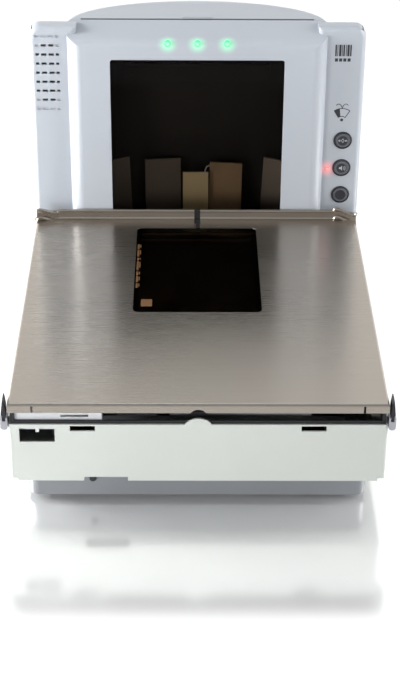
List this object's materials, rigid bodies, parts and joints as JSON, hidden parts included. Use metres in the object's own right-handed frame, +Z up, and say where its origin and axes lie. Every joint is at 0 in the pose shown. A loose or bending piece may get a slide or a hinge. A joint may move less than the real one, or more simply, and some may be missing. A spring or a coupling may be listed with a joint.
{
  "type": "bi-optic checkout scanner",
  "caption": "In-counter checkout scanner and scale: low white body, lift-off stainless plate with a glass window, and a window tower with status lamps and buttons.",
  "frame": {"origin": "on the surface under the feet, below the middle of the unit's box", "axes": "+X to the operator's right, +Y from the operator towards the tower, +Z up"},
  "size_m": [0.303, 0.399, 0.2832],
  "materials": {
    "housing_white": "satin moulded",
    "body_paint": "satin powder coat",
    "stainless": "brushed along X",
    "scan_glass": "polished dark tint",
    "lower_glass": "polished",
    "black_plastic": "fine texture",
    "grey_plastic": "satin",
    "rubber_black": "matt",
    "cast_aluminium": "cast",
    "zinc_steel": "zinc plated",
    "bracket_paint": "satin",
    "pan_paint": "dark satin coat",
    "dark_steel": "black coat",
    "mirror_glass": "polished",
    "mirror_frosted": "dusty",
    "circuit_green": "solder resist",
    "lamp_green": "lit light pipe",
    "lamp_red": "lit lens",
    "cable_black": "satin",
    "coil_resin": "satin",
    "paper_cone": "paper fibre"
  },
  "bodies": {
    "housing": {"rubber_feet": "rubber_black", "base_pan": "pan_paint", "base_screws": "zinc_steel", "ground_screw": "dark_steel", "body_shell": "body_paint", "rim_gasket": "rubber_black", "optics_deck": "dark_steel", "lower_window_gasket": "rubber_black", "lower_window": "lower_glass", "eas_coil": "coil_resin", "optics_tray": "black_plastic", "spinner_motor": "zinc_steel", "laser_module": "cast_aluminium", "collector_mirror": "mirror_glass", "photodiode_board": "circuit_green", "lower_mirrors": "mirror_glass", "main_board": "circuit_green", "io_board": "circuit_green", "data_ports": "black_plastic", "power_socket": "black_plastic", "port_panel": "zinc_steel", "load_cell_bracket": "zinc_steel", "load_cell": "cast_aluminium", "load_cell_bolts": "dark_steel", "load_cell_lead": "cable_black", "scale_spider": "cast_aluminium", "spider_pads": "rubber_black", "scale_stop_bracket": "bracket_paint", "scale_beam": "zinc_steel", "corner_brackets": "zinc_steel", "corner_bumpers": "rubber_black", "tower_mount_plate": "dark_steel", "tower_front_bezel": "housing_white", "tower_rear_cover": "housing_white", "cover_tab": "housing_white", "wing_back_panels": "housing_white", "wing_screws": "zinc_steel", "vertical_window": "scan_glass", "vertical_window_gasket": "rubber_black", "tower_chassis": "black_plastic", "tower_mirror_centre": "mirror_frosted", "tower_mirror_right": "mirror_frosted", "tower_mirror_left": "mirror_frosted", "tower_mirrors_outer": "mirror_frosted", "tower_mirror_top": "mirror_glass", "green_light_pipes": "lamp_green", "lamp_board": "circuit_green", "status_lamp_lens": "lamp_red", "button_rings": "grey_plastic", "button_board": "circuit_green", "speaker_frame": "dark_steel", "speaker_cone": "paper_cone"},
    "platter": {"top_plate": "stainless", "window_frame": "black_plastic", "horizontal_window": "scan_glass", "eas_gap_insert": "black_plastic"},
    "zero_key": {"zero_button": "grey_plastic"},
    "volume_key": {"volume_button": "grey_plastic"},
    "power_key": {"power_button": "grey_plastic"},
    "spinner": {"polygon_spinner": "mirror_glass"}
  },
  "joints": [
    {"name": "platter_lift", "type": "slide", "parent": "housing", "child": "platter", "axis": [0, 0, 1], "range_m": [0, 0.06]},
    {"name": "zero_press", "type": "slide", "parent": "housing", "child": "zero_key", "axis": [0, 1, 0], "range_m": [0, 0.0009], "stiffness_N_per_m": 400, "springref_m": -0.0008},
    {"name": "volume_press", "type": "slide", "parent": "housing", "child": "volume_key", "axis": [0, 1, 0], "range_m": [0, 0.0009], "stiffness_N_per_m": 400, "springref_m": -0.0008},
    {"name": "power_press", "type": "slide", "parent": "housing", "child": "power_key", "axis": [0, 1, 0], "range_m": [0, 0.0009], "stiffness_N_per_m": 400, "springref_m": -0.0008},
    {"name": "spinner_spin", "type": "hinge", "parent": "housing", "child": "spinner", "pos_m": [0, 0.12, 0.056], "axis": [0, 0, 1], "continuous": true}
  ]
}
